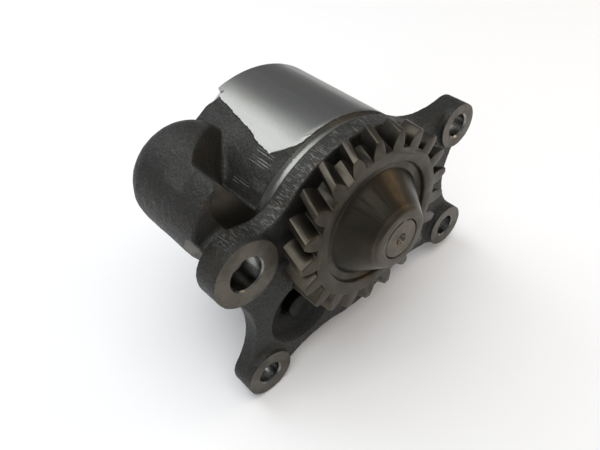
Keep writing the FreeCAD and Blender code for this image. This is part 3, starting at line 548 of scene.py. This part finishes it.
def to_object(name, shape, finish=CAST):
    """An object with the housing's finishes, whose faces all have one of them."""
    bmesh.ops.remove_doubles(shape, verts=shape.verts, dist=1e-7)
    loose = [edge for edge in shape.edges if not edge.link_faces]
    bmesh.ops.delete(shape, geom=loose, context="EDGES")
    bmesh.ops.recalc_face_normals(shape, faces=shape.faces)
    for face in shape.faces:
        face.material_index = finish
    mesh = mesh_from(shape, name)
    for material in HOUSING_FINISHES:
        mesh.materials.append(bpy.data.materials[material])
    return linked(name, mesh)


def evaluated(made):
    """Puts an object's modifiers into its mesh."""
    bpy.context.view_layer.update()
    depsgraph = bpy.context.evaluated_depsgraph_get()
    mesh = bpy.data.meshes.new_from_object(made.evaluated_get(depsgraph), depsgraph=depsgraph)
    made.modifiers.clear()
    made.data = mesh
    return made


def remove(made):
    bpy.data.objects.remove(made)


def with_stock(shape, stock):
    """The casting before machining: iron added on every face that is cut."""
    for corner in shape.verts:
        x, y, z = corner.co / MM
        reach = math.hypot(x, z)
        beyond_neck = reach > NECK_RADIUS - 0.2
        if abs(y - FLANGE_FRONT) < 0.02:
            corner.co.y -= stock
        elif abs(y - BARREL_END) < 0.02:
            corner.co.y += stock
        elif beyond_neck and abs(y - MOUNTING_FACE) < 0.02:
            corner.co.y += stock
        elif beyond_neck and abs(y - NECK_END) < 0.02:
            corner.co.y -= stock
        if abs(reach - NECK_RADIUS) < 0.05 and MOUNTING_FACE - 0.1 < y < NECK_END + 0.1:
            grown = 1 + stock / (NECK_RADIUS * MM)
            corner.co.x *= grown
            corner.co.z *= grown


def fill_holes(shape):
    """Bars that close every hole, because a casting is solid where it is drilled later."""
    add_rod(shape, (0, -7.5, 0), (0, BARREL_END + 0.9, 0), 41.5, 96)
    bars = [((x, z), FLANGE_FRONT - 0.9, MOUNTING_FACE + 0.9, hole + 0.8) for x, z, _, hole in LUGS.values()]
    bars.append((VALVE, -7.5, -1.5, MOUTH_RADIUS + 0.4))
    bars.append((VALVE, -2.0, 37.6, 11.6))
    bars.append((PORT, 8.0, BOSS_END - 0.1, PORT_RADIUS + 0.7))
    for (x, z), near, far, radius in bars:
        add_rod(shape, (x, near, z), (x, far, z), radius)


def turned_edge(depth):
    """The angle at which the turned surface of the barrel ends, on the side of the boss."""
    if depth <= TURNED_EDGE[0][0]:
        return TURNED_EDGE[0][1]
    for (first, low), (last, high) in zip(TURNED_EDGE, TURNED_EDGE[1:]):
        if depth <= last:
            return low + (high - low) * (depth - first) / (last - first)
    return TURNED_EDGE[-1][1]


def smooth(value):
    """A soft step from 0 to 1."""
    value = min(1.0, max(0.0, value))
    return value * value * (3 - 2 * value)


def barrel_skin_shift(at, angle):
    """How far the barrel's skin stands out: stock for the lathe, or the cast places beside the boss."""
    lathe_stock, below_turned, front_recess, rear_swell = 0.55, 0.12, 0.9, 1.2
    past = angle - turned_edge(at.y) + 0.5 * noise.noise(Vector((at.z * 1.3, at.y * 2.6, 3.7)))
    if angle < -100:
        past = -100 - angle
    cast = smooth((past + 1.0) / 2.0)
    front = smooth((15.0 - at.y) / 9.0) * smooth(past / 7.0) * smooth((134.0 - angle) / 6.0)
    swell = smooth((at.y - 24.0) / 16.0) * smooth((past - 1.0) / 8.0) * smooth((132.0 - angle) / 6.0)
    return lathe_stock * (1 - cast) - below_turned * cast - front_recess * front + rear_swell * swell


def roughen(made, sizes):
    """Lumps and grain of the sand, always below the drawn surface, and the cast places of the barrel."""
    mesh = made.data
    normals = [vertex.normal.copy() for vertex in mesh.vertices]
    for vertex, normal in zip(mesh.vertices, normals):
        at = vertex.co / MM
        reach, angle = math.hypot(at.x, at.z), math.degrees(math.atan2(at.z, at.x))
        lump = 0.5 + 0.5 * noise.fractal(at * 0.21, 0.8, 2.0, 2, noise_basis="PERLIN_ORIGINAL")
        grain = 0.5 + 0.5 * noise.noise(at * 0.72)
        vertex.co -= normal * (sizes.lumps * smooth(lump) + sizes.grain * grain)
        if at.y > NECK_END + 0.1 and abs(reach - BARREL_RADIUS) < 0.9:
            shift = barrel_skin_shift(at, angle)
            vertex.co.x += shift * MM * math.cos(math.radians(angle))
            vertex.co.z += shift * MM * math.sin(math.radians(angle))


def relax(made, rounds, group=""):
    """Rounds the edges of a skin, everywhere or in one vertex group."""
    rounding = made.modifiers.new("rounding", "SMOOTH")
    rounding.vertex_group = group
    rounding.factor = 0.5
    rounding.iterations = rounds
    evaluated(made)


def mark_boss_hollow(made):
    """A vertex group of the skin in the hollow beside the boss, whose corners are rounder."""
    hollow = made.vertex_groups.new(name="boss_hollow")
    for vertex in made.data.vertices:
        x, y, z = vertex.co / MM
        reach, angle = math.hypot(x, z), math.degrees(math.atan2(z, x))
        if 112.0 < angle < 139.5 and 5.0 < y < 44.0 and 30.0 < reach < 57.0:
            hollow.add([vertex.index], smooth((57.0 - reach) / 7.0), "REPLACE")
    return hollow.name


def rough_casting(sizes):
    """The housing as it leaves the mould."""
    shape = welded_copy("housing")
    with_stock(shape, sizes.stock)
    fill_holes(shape)
    add_prism(shape, boss_nose_outline(), level(NOSE_FRONT), level(12.0))
    made = to_object("housing_casting", shape)
    pocket = boss_pocket()
    reskin(made, sizes.voxel)
    carve(made, [pocket])
    remove(pocket)
    reskin(made, sizes.voxel)
    relax(made, 2)
    relax(made, 80, mark_boss_hollow(made))
    roughen(made, sizes)
    return made


def reskin(made, voxel):
    """Joins all parts of an object into one closed skin of even cells."""
    remesh = made.modifiers.new("skin", "REMESH")
    remesh.mode = "VOXEL"
    remesh.voxel_size = voxel
    evaluated(made)


def barrel_row(shape, radius, depth, sides):
    """Corners round the barrel at one depth, from its underside to the turned edge beside the boss."""
    first, last = TURNED_UNDERSIDE, turned_edge(depth) + 2.2
    row = []
    for step in range(sides + 1):
        angle = math.radians(first + (last - first) * step / sides)
        row.append(shape.verts.new((radius * math.cos(angle) * MM, depth * MM,
                                    radius * math.sin(angle) * MM)))
    return row


def barrel_shell(sides=360):
    """What the lathe takes off the barrel, up to the slanting line where the cast surface dips below."""
    shape = bmesh.new()
    depths = (4.3, 7.0, 12.0, 19.0, 26.0, 34.0, 43.0, 52.0)
    inner, outer = [[barrel_row(shape, radius, depth, sides) for depth in depths]
                    for radius in (BARREL_RADIUS, 47.6)]
    last = len(depths) - 1
    for row in range(last):
        for step in range(sides):
            for grid in (inner, outer):
                shape.faces.new((grid[row][step], grid[row][step + 1], grid[row + 1][step + 1],
                                 grid[row + 1][step]))
        for step in (0, sides):
            shape.faces.new((inner[row][step], outer[row][step], outer[row + 1][step], inner[row + 1][step]))
    for row in (0, last):
        for step in range(sides):
            shape.faces.new((inner[row][step], inner[row][step + 1], outer[row][step + 1], outer[row][step]))
    return shape


def gate_facet():
    """The small flat that is ground on the boss beside the lug."""
    corners = [Vector(corner) for corner in ((-64.5, 6.88, 38.88), (-56.0, 2.0, 28.0), (-58.0, 10.13, 14.0))]
    away = (corners[1] - corners[0]).cross(corners[2] - corners[0]).normalized()
    if away.y > 0:
        away.negate()
    shape = bmesh.new()
    bottom = [shape.verts.new(corner * MM) for corner in corners]
    top = [shape.verts.new((corner + away * 2.8) * MM) for corner in corners]
    return add_between(shape, bottom, top)


def turned_cut(name, finish, x, z, profile, **more):
    """A cutter turned about an axis along Y."""
    return to_object(name, add_lathe(bmesh.new(), x, z, profile, **more), finish)


def lug_drill(hole, edge):
    """The profile of a cutter that goes through the flange and breaks both edges of the hole."""
    return [(0, FLANGE_FRONT - 1.2), (hole + 1.2 + edge, FLANGE_FRONT - 1.2), (hole, FLANGE_FRONT + edge),
            (hole, MOUNTING_FACE - edge), (hole + edge + 1, MOUNTING_FACE + 1), (0, MOUNTING_FACE + 1)]


def machining_cuts(sizes):
    """The volumes that are cut from the casting, each with the finish that it leaves."""
    edge = sizes.edge / MM
    neck = turned_cut("neck_cut", MILLED, 0, 0, ring(44.4, 110, MOUNTING_FACE, NECK_END), sides=160)
    nose = add_prism(bmesh.new(), boss_nose_outline(), level(-1.0), level(6.0))
    nose = to_object("boss_nose", nose, MILLED)
    carve(neck, [nose])
    remove(nose)
    around_neck = ring(NECK_RADIUS, 44.6, MOUNTING_FACE, NECK_END)
    cuts = [
        neck,
        turned_cut("neck_turned_cut", TURNED, 0, 0, around_neck, sides=360),
        to_object("barrel_cut", barrel_shell(), TURNED),
        to_object("gate_cut", gate_facet(), MILLED),
        turned_cut("rear_cut", MILLED, 0, 0, ring(0, 46.5, BARREL_END, BARREL_END + 3)),
    ]
    for corner, (x, z, radius, hole) in LUGS.items():
        face = ring(0, radius + 2.5, FLANGE_FRONT - 3.2, FLANGE_FRONT)
        cuts.append(turned_cut(corner + "_face_cut", MILLED, x, z, face))
        cuts.append(turned_cut(corner + "_hole_cut", BORED, x, z, lug_drill(hole, edge), sides=64))
    cuts.append(turned_cut("valve_mouth_cut", CAST, *VALVE, ring(0, MOUTH_RADIUS, -9, MOUTH_FLOOR), sides=72))
    chamber = ring(0, CHAMBER_RADIUS + CHAMBER_ROOM, CHAMBER_FRONT, BARREL_END + 1)
    for name, z in (("drive_chamber_cut", DRIVE_AXIS), ("driven_chamber_cut", DRIVEN_AXIS)):
        cuts.append(turned_cut(name, BORED, 0, z, chamber, sides=180))
    port = [(0, PORT_FLOOR), (PORT_RADIUS, PORT_FLOOR), (PORT_RADIUS, BOSS_END - 0.8),
            (PORT_RADIUS + 1.8, BOSS_END + 1), (0, BOSS_END + 1)]
    cuts.append(turned_cut("port_cut", BORED, *PORT, port, sides=64))
    for name, (start, end, radius) in DRILLINGS.items():
        shape = bmesh.new()
        add_rod(shape, start, end, radius, 40)
        cuts.append(to_object(name, shape, BORED))
    return cuts


def inner_cavities():
    """Everything that is hollow inside the barrel, taken from the drawn housing."""
    core = turned_cut("cavities_cut", BORED, 0, 0, ring(0, 41.9, -9, BARREL_END + 1), sides=120)
    drawn = to_object("drawn_housing", welded_copy("housing"), BORED)
    mouth = turned_cut("valve_mouth", CAST, *VALVE, ring(0, MOUTH_RADIUS + 0.4, -9.5, MOUTH_FLOOR), sides=72)
    carve(core, [drawn, mouth])
    remove(drawn)
    remove(mouth)
    return core


def carve(made, cuts):
    """Takes the cutters' volumes from an object, whose new faces get the cutters' finishes."""
    for cut in cuts:
        step = made.modifiers.new(cut.name, "BOOLEAN")
        step.operation = "DIFFERENCE"
        step.solver = "MANIFOLD"
        step.object = cut
    return evaluated(made)


def soften(mesh, degrees, flat=()):
    """Smooth shading, with sharp edges where faces meet at more than an angle; some finishes stay flat."""
    mesh.polygons.foreach_set("use_smooth", [face.material_index not in flat for face in mesh.polygons])
    mesh.set_sharp_from_angle(angle=math.radians(degrees))


def true_normals(mesh):
    """Exact normals on the turned and milled surfaces, which slender faces would shade in stripes."""
    normals = [corner.vector.copy() for corner in mesh.corner_normals]
    planes = {FLANGE_FRONT: -1, NECK_END: -1, MOUNTING_FACE: 1, BARREL_END: 1}
    for face in mesh.polygons:
        if face.material_index not in (TURNED, MILLED):
            continue
        corners = [(loop, mesh.vertices[mesh.loops[loop].vertex_index].co) for loop in face.loop_indices]
        depths = [at.y / MM for _, at in corners]
        reaches = [math.hypot(at.x, at.z) / MM for _, at in corners]
        for depth, side in planes.items():
            if all(abs(value - depth) < 0.01 for value in depths):
                for loop, _ in corners:
                    normals[loop] = Vector((0, side, 0))
        for radius in (NECK_RADIUS, BARREL_RADIUS):
            if all(abs(value - radius) < 0.02 for value in reaches) and max(depths) - min(depths) > 0.01:
                for loop, at in corners:
                    normals[loop] = Vector((at.x, 0, at.z)).normalized()
    mesh.normals_split_custom_set(normals)


def bevelled(node, name, width, degrees, segments=2):
    """A copy of a CAD node with its edges broken."""
    shape = welded_copy(node)
    bmesh.ops.dissolve_limit(shape, angle_limit=math.radians(0.5), verts=shape.verts, edges=shape.edges)
    made = linked(name, mesh_from(shape, name))
    edges = made.modifiers.new("edges", "BEVEL")
    edges.limit_method = "ANGLE"
    edges.angle_limit = math.radians(degrees)
    edges.width = width
    edges.segments = segments
    edges.use_clamp_overlap = True
    evaluated(made)
    soften(made.data, 32)
    return made


# Operators

class OILPUMP_OT_finishes(bpy.types.Operator):
    """Make the materials and give every CAD node its own"""
    bl_idname = "oilpump.finishes"
    bl_label = "Finishes"

    def execute(self, context):
        cast_skin()
        turned = turned_iron()
        milled_iron()
        bored_iron()
        drive_gear_steel()
        gear = plain_steel("pump_gear_steel", (0.32, 0.31, 0.29), 0.3, 2400)
        ground = plain_steel("ground_steel", (0.095, 0.082, 0.062), 0.3, 4200)
        spring = plain_steel("oiled_spring_steel", (0.16, 0.16, 0.17), 0.35, 900)
        zinc = plain_steel("dull_zinc", (0.30, 0.30, 0.29), 0.42, 1500, 0.03)
        black = plain_steel("oiled_black_steel", (0.016, 0.016, 0.014), 0.5, 1500, 0.03)
        bronze = plain_steel("bored_bronze", (0.50, 0.35, 0.17), 0.34, 3000)
        finishes = {
            "housing": turned, "rear_cover": turned, "drive_gear": gear, "cover_screws": zinc,
            "relief_shim": spring, "cover_dowels": ground, "drive_front_bush": bronze,
            "drive_rear_bush": bronze, "driven_front_bush": bronze, "driven_rear_bush": bronze,
            "thrust_washer": bronze, "drive_shaft": ground, "pump_gear_key": ground,
            "pump_drive_gear": gear, "driven_shaft": ground, "pump_driven_gear": gear,
            "relief_plunger": ground, "relief_spring": spring, "relief_spring_seat": black,
            "relief_snap_ring": spring, "gallery_plug": zinc,
        }
        for node, material in finishes.items():
            dress(node, material)
        return {"FINISHED"}


class OILPUMP_OT_housing(bpy.types.Operator):
    """Cast the housing with machining stock, then turn, mill and bore it"""
    bl_idname = "oilpump.housing"
    bl_label = "Housing"

    def execute(self, context):
        sizes = casting_sizes()
        made = rough_casting(sizes)
        cuts = machining_cuts(sizes) + [inner_cavities()]
        carve(made, cuts)
        for cut in cuts:
            remove(cut)
        soften(made.data, 38, (MILLED,))
        true_normals(made.data)
        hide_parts("housing")
        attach(made, "body")
        return {"FINISHED"}


class OILPUMP_OT_drive_gear(bpy.types.Operator):
    """Make the helical drive gear with broken edges"""
    bl_idname = "oilpump.drive_gear"
    bl_label = "Drive gear"

    def execute(self, context):
        made = bevelled("drive_gear", "helical_drive_gear", steel_sizes().gear_edge, 35)
        made.data.materials.clear()
        made.data.materials.append(bpy.data.materials["drive_gear_steel"])
        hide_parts("drive_gear")
        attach(made, "drive")
        return {"FINISHED"}


class OILPUMP_OT_relief_spring(bpy.types.Operator):
    """Make the relief spring, as a copy of the drawn coil"""
    bl_idname = "oilpump.relief_spring"
    bl_label = "Relief spring"

    def execute(self, context):
        made = linked("relief_spring_coil", mesh_from(welded_copy("relief_spring"), "relief_spring_coil"))
        made.data.materials.append(bpy.data.materials["oiled_spring_steel"])
        soften(made.data, 40)
        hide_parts("relief_spring")
        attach(made, "body")
        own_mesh(made)
        return {"FINISHED"}


class OILPUMP_OT_studio(bpy.types.Operator):
    """Set up the floor, the lights and the camera"""
    bl_idname = "oilpump.studio"
    bl_label = "Studio"

    def execute(self, context):
        sizes = studio_sizes()
        scene = context.scene
        scene.view_settings.view_transform = "Standard"
        scene.view_settings.look = "None"
        make_floor()
        make_sky(sizes.sky)
        make_light("key_light", sizes.key)
        make_light("side_light", sizes.side)
        make_light("floor_light", sizes.floor)
        make_light("warm_light", sizes.warm)
        scene.camera = make_camera(sizes.lens)
        return {"FINISHED"}


def make_floor():
    low = CAD_BOX[0][2] - 0.4 * MM
    shape = bmesh.new()
    bmesh.ops.create_grid(shape, x_segments=24, y_segments=24, size=2.5,
                          matrix=Matrix.Translation((0, 0, low)))
    floor = linked("studio_floor", mesh_from(shape, "studio_floor"))
    look = Finish("studio_floor", colours().floor, 0.0, 0.9)
    floor.data.materials.append(look.done(look.bump(look.noise(220, 3.0, 0.5), 0.05 * MM, 0.1)))


def make_sky(strength):
    world = bpy.data.worlds.new("studio_sky")
    world.use_nodes = True
    background = world.node_tree.nodes["Background"]
    background.inputs[0].default_value = (0.93, 0.95, 1.0, 1)
    background.inputs[1].default_value = strength
    bpy.context.scene.world = world


def make_light(name, power):
    """A square or oblong lamp that shines on the pump."""
    place, width, height, colour = LIGHTS[name]
    light = bpy.data.lights.new(name, "AREA")
    light.shape = "RECTANGLE"
    light.size, light.size_y = width, height
    light.energy = power
    light.color = colour
    lamp = linked(name, light)
    lamp.location = place
    lamp.rotation_euler = (Vector(LIT_POINT) - Vector(place)).to_track_quat("-Z", "Y").to_euler()


def make_camera(lens):
    """The photograph's point of view."""
    right = Vector((0.740051, -0.666657, -0.088882))
    up = Vector((0.524730, 0.489660, 0.696341))
    ahead = Vector((0.420699, 0.561967, -0.712188))
    turn = Matrix((right, up, -ahead)).transposed().to_4x4()
    data = bpy.data.cameras.new("photo_camera")
    data.lens = lens
    data.sensor_width = 36
    data.clip_start = 0.01
    camera = linked("photo_camera", data)
    camera.matrix_world = Matrix.Translation(Vector((-118.20, -131.83, 179.84)) * MM) @ turn
    return camera


class OILPUMP_PT_panel(bpy.types.Panel):
    """Lists the pump's pieces and their sizes"""
    bl_idname = "OILPUMP_PT_panel"
    bl_label = "Engine oil pump"
    bl_space_type = "VIEW_3D"
    bl_region_type = "UI"
    bl_category = "Oil Pump"

    def draw(self, context):
        layout = self.layout
        scene = context.scene
        for operator in OPERATORS:
            layout.operator(operator.bl_idname)
        for title, group in (("Casting", scene.oil_pump_casting), ("Steel", scene.oil_pump_steel),
                             ("Colours", scene.oil_pump_colours), ("Studio", scene.oil_pump_studio)):
            box = layout.box()
            box.label(text=title)
            for name in group.bl_rna.properties.keys():
                if name not in ("rna_type", "name"):
                    box.prop(group, name)


OPERATORS = (OILPUMP_OT_finishes, OILPUMP_OT_housing, OILPUMP_OT_drive_gear, OILPUMP_OT_relief_spring,
             OILPUMP_OT_studio)
GROUPS = {
    "oil_pump_casting": CastingSizes,
    "oil_pump_steel": SteelSizes,
    "oil_pump_colours": FinishColours,
    "oil_pump_studio": StudioSizes,
}


def register():
    for group in GROUPS.values():
        bpy.utils.register_class(group)
    for name, group in GROUPS.items():
        setattr(bpy.types.Scene, name, PointerProperty(type=group))
    for operator in OPERATORS:
        bpy.utils.register_class(operator)
    bpy.utils.register_class(OILPUMP_PT_panel)


def unregister():
    bpy.utils.unregister_class(OILPUMP_PT_panel)
    for operator in reversed(OPERATORS):
        bpy.utils.unregister_class(operator)
    for name, group in GROUPS.items():
        delattr(bpy.types.Scene, name)
        bpy.utils.unregister_class(group)


def main():
    register()
    bpy.ops.oilpump.finishes()
    bpy.ops.oilpump.housing()
    bpy.ops.oilpump.drive_gear()
    bpy.ops.oilpump.relief_spring()
    bpy.ops.oilpump.studio()
    bpy.context.view_layer.update()


if __name__ == "__main__":
    main()
